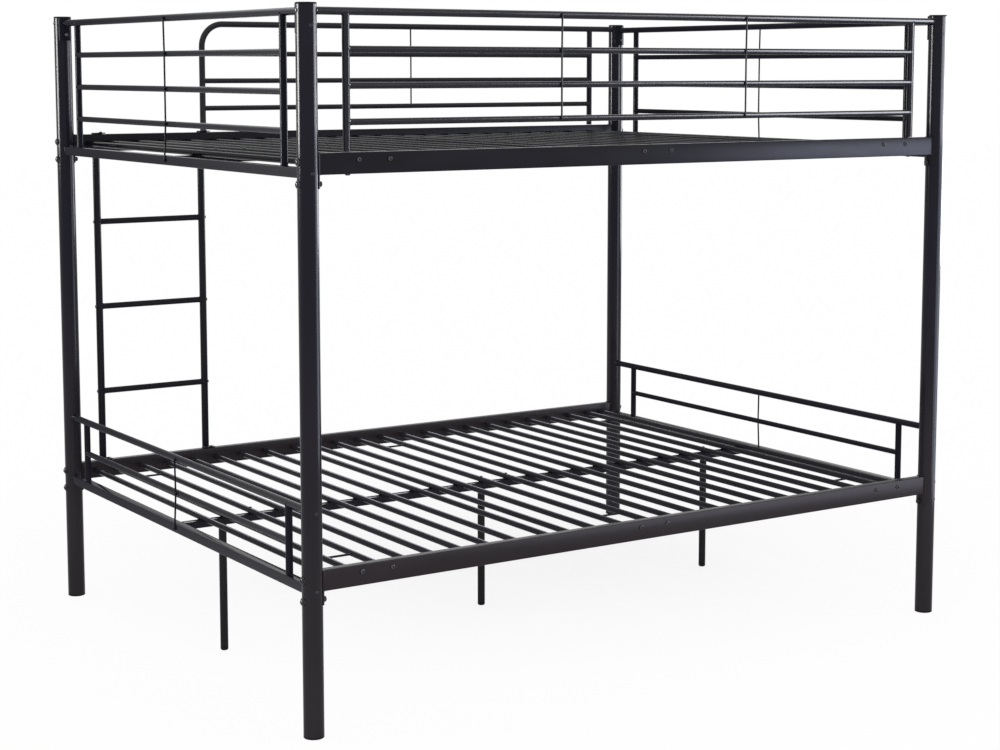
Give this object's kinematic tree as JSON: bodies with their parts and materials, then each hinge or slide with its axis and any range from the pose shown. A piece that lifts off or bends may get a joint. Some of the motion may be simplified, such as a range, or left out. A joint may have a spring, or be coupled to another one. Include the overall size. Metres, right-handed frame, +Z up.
{
  "type": "bunk bed",
  "caption": "Two-level metal bunk bed with tubular posts, slatted mattress bases, barred guard rails and end panels, and a ladder fixed to the back.",
  "frame": {"origin": "on the floor, midway between the four corner posts", "axes": "+X along the bed, away from the ladder end; +Y across the bed, towards the ladder side; +Z up"},
  "size_m": [2.112, 1.6261, 1.765],
  "materials": {
    "post_coat": "glossy black powder coat",
    "rail_coat": "black powder coat, flat faces slightly duller than the posts",
    "panel_coat": "glossy black powder coat",
    "guard_coat": "glossy black powder coat",
    "slat_coat": "black powder coat",
    "leg_coat": "black powder coat",
    "ladder_coat": "glossy black powder coat",
    "bolt_steel": "blackened steel",
    "cap_plastic": "moulded black, fine satin",
    "glide_plastic": "moulded black, matte"
  },
  "bodies": {
    "root": {"foot_glide_back_left": "glide_plastic", "foot_glide_back_right": "glide_plastic", "foot_glide_front_left": "glide_plastic", "foot_glide_front_right": "glide_plastic", "guard_back": "guard_coat", "guard_front": "guard_coat", "ladder_rung_bottom": "ladder_coat", "ladder_rung_middle": "ladder_coat", "ladder_rung_top": "ladder_coat", "ladder_upright_left": "ladder_coat", "ladder_upright_right": "ladder_coat", "leg_glide_left": "glide_plastic", "leg_glide_middle": "glide_plastic", "leg_glide_right": "glide_plastic", "lower_cross_frame_left": "slat_coat", "lower_cross_frame_middle": "slat_coat", "lower_cross_frame_right": "slat_coat", "lower_end_panel_left": "panel_coat", "lower_end_panel_right": "panel_coat", "lower_rail_back": "rail_coat", "lower_rail_bolt_back_left_high": "bolt_steel", "lower_rail_bolt_back_left_low": "bolt_steel", "lower_rail_bolt_back_right_high": "bolt_steel", "lower_rail_bolt_back_right_low": "bolt_steel", "lower_rail_bolt_front_left_high": "bolt_steel", "lower_rail_bolt_front_left_low": "bolt_steel", "lower_rail_bolt_front_right_high": "bolt_steel", "lower_rail_bolt_front_right_low": "bolt_steel", "lower_rail_front": "rail_coat", "lower_slat_deck": "slat_coat", "post_back_left": "post_coat", "post_back_right": "post_coat", "post_cap_back_left": "cap_plastic", "post_cap_back_right": "cap_plastic", "post_cap_front_left": "cap_plastic", "post_cap_front_right": "cap_plastic", "post_front_left": "post_coat", "post_front_right": "post_coat", "support_leg_left": "leg_coat", "support_leg_middle": "leg_coat", "support_leg_right": "leg_coat", "upper_cross_frame_left": "slat_coat", "upper_cross_frame_middle": "slat_coat", "upper_cross_frame_right": "slat_coat", "upper_end_panel_left": "panel_coat", "upper_end_panel_right": "panel_coat", "upper_rail_back": "rail_coat", "upper_rail_bolt_back_left_high": "bolt_steel", "upper_rail_bolt_back_left_low": "bolt_steel", "upper_rail_bolt_back_right_high": "bolt_steel", "upper_rail_bolt_back_right_low": "bolt_steel", "upper_rail_bolt_front_left_high": "bolt_steel", "upper_rail_bolt_front_left_low": "bolt_steel", "upper_rail_bolt_front_right_high": "bolt_steel", "upper_rail_bolt_front_right_low": "bolt_steel", "upper_rail_front": "rail_coat", "upper_slat_deck": "slat_coat"}
  },
  "joints": []
}
